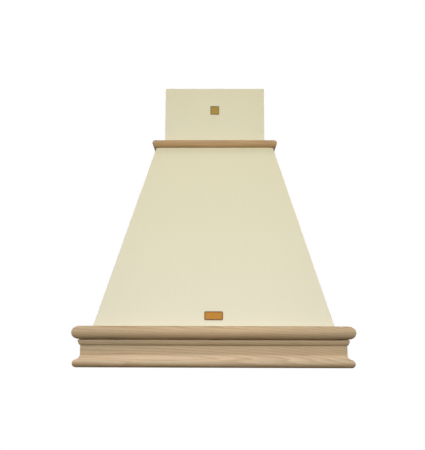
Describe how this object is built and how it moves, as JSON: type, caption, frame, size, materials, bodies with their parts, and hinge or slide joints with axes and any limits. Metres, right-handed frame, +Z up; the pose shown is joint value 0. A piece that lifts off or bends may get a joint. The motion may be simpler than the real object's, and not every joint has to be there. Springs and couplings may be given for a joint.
{
  "type": "range hood cover",
  "caption": "Wall-mounted wooden hood: cream tapered dome and chimney, raw moulded base frame and collar, with filters, lamps, buttons and fan.",
  "frame": {"origin": "on the wall plane, on the centre line, level with the underside of the base frame", "axes": "+Z up, +Y into the wall, +X to the right seen from the room"},
  "size_m": [0.6, 0.5, 0.7165],
  "materials": {
    "raw_beech": "raw, unfinished, fine straight grain",
    "cream_paint": "satin cream paint on board",
    "framing_timber": "planed softwood, unfinished",
    "plywood": "sanded plywood",
    "brass_plate": "satin brass, bare field",
    "tray_steel": "brushed stainless steel",
    "filter_aluminium": "satin aluminium",
    "latch_plastic": "matt black",
    "lamp_metal": "satin steel",
    "lamp_glass": "frosted glass",
    "control_panel": "satin steel",
    "switch_plastic": "matt dark grey",
    "button_chrome": "polished",
    "galvanised_sheet": "galvanised sheet",
    "impeller_plastic": "matt black",
    "shaft_steel": "ground steel",
    "motor_paint": "black paint",
    "duct_plastic": "matt dark grey",
    "box_plastic": "light grey",
    "gland_plastic": "black",
    "zinc_screw": "zinc plated"
  },
  "bodies": {
    "hood": {"base_front_rail": "raw_beech", "base_left_rail": "raw_beech", "base_right_rail": "raw_beech", "collar_front": "raw_beech", "collar_left": "raw_beech", "collar_right": "raw_beech", "dome_front_panel": "cream_paint", "dome_left_panel": "cream_paint", "dome_right_panel": "cream_paint", "chimney_front_panel": "cream_paint", "chimney_left_panel": "cream_paint", "chimney_right_panel": "cream_paint", "base_back_rail": "framing_timber", "base_corner_blocks": "framing_timber", "dome_foot_cleats": "framing_timber", "dome_corner_battens": "framing_timber", "dome_stiles": "framing_timber", "hanging_rail": "framing_timber", "chimney_battens": "framing_timber", "chimney_tie": "framing_timber", "tray_ledgers": "framing_timber", "top_board": "plywood", "dome_plate": "brass_plate", "chimney_badge": "brass_plate", "canopy_tray": "tray_steel", "lamp_left_housing": "lamp_metal", "lamp_right_housing": "lamp_metal", "lamp_left_lens": "lamp_glass", "lamp_right_lens": "lamp_glass", "control_plate": "control_panel", "switch_block": "switch_plastic", "scroll_wrap": "galvanised_sheet", "scroll_left_cheek": "galvanised_sheet", "scroll_right_cheek": "galvanised_sheet", "outlet_transition": "galvanised_sheet", "hanger_plate": "galvanised_sheet", "motor_spider": "galvanised_sheet", "motor": "motor_paint", "duct_collar": "duct_plastic", "terminal_box": "box_plastic", "terminal_box_lid": "box_plastic", "cable_gland": "gland_plastic", "tray_screws": "zinc_screw", "hanger_screws": "zinc_screw", "outlet_screws": "zinc_screw"},
    "filter_left": {"filter_left_frame": "filter_aluminium", "filter_left_mesh": "filter_aluminium"},
    "filter_right": {"filter_right_frame": "filter_aluminium", "filter_right_mesh": "filter_aluminium"},
    "latch_left": {"filter_left_latch": "latch_plastic"},
    "latch_right": {"filter_right_latch": "latch_plastic"},
    "fan_wheel": {"impeller": "impeller_plastic", "fan_shaft": "shaft_steel"},
    "flap_front": {"flap_front": "duct_plastic"},
    "flap_back": {"flap_back": "duct_plastic"},
    "button_1": {"button_1": "button_chrome"},
    "button_2": {"button_2": "button_chrome"},
    "button_3": {"button_3": "button_chrome"},
    "button_4": {"button_4": "button_chrome"},
    "button_5": {"button_5": "button_chrome"}
  },
  "joints": [
    {"name": "filter_left_hinge", "type": "hinge", "parent": "hood", "child": "filter_left", "pos_m": [0, -0.0537, 0.0458], "axis": [1, 0, 0], "range_deg": [0, 75]},
    {"name": "filter_left_latch_slide", "type": "slide", "parent": "filter_left", "child": "latch_left", "axis": [0, 1, 0], "range_m": [0, 0.006], "stiffness_N_per_m": 300},
    {"name": "filter_right_hinge", "type": "hinge", "parent": "hood", "child": "filter_right", "pos_m": [0, -0.0537, 0.0458], "axis": [1, 0, 0], "range_deg": [0, 75]},
    {"name": "filter_right_latch_slide", "type": "slide", "parent": "filter_right", "child": "latch_right", "axis": [0, 1, 0], "range_m": [0, 0.006], "stiffness_N_per_m": 300},
    {"name": "button_1_press", "type": "slide", "parent": "hood", "child": "button_1", "axis": [0, 0, 1], "range_m": [0, 0.0025], "stiffness_N_per_m": 500},
    {"name": "button_2_press", "type": "slide", "parent": "hood", "child": "button_2", "axis": [0, 0, 1], "range_m": [0, 0.0025], "stiffness_N_per_m": 500},
    {"name": "button_3_press", "type": "slide", "parent": "hood", "child": "button_3", "axis": [0, 0, 1], "range_m": [0, 0.0025], "stiffness_N_per_m": 500},
    {"name": "button_4_press", "type": "slide", "parent": "hood", "child": "button_4", "axis": [0, 0, 1], "range_m": [0, 0.0025], "stiffness_N_per_m": 500},
    {"name": "button_5_press", "type": "slide", "parent": "hood", "child": "button_5", "axis": [0, 0, 1], "range_m": [0, 0.0025], "stiffness_N_per_m": 500},
    {"name": "fan_spin", "type": "hinge", "parent": "hood", "child": "fan_wheel", "pos_m": [0, -0.21425, 0.314], "axis": [1, 0, 0], "continuous": true},
    {"name": "flap_front_swing", "type": "hinge", "parent": "hood", "child": "flap_front", "pos_m": [0, -0.129, 0.564], "axis": [-1, 0, 0], "range_deg": [0, 80]},
    {"name": "flap_back_swing", "type": "hinge", "parent": "hood", "child": "flap_back", "pos_m": [0, -0.121, 0.564], "axis": [1, 0, 0], "range_deg": [0, 80]}
  ]
}
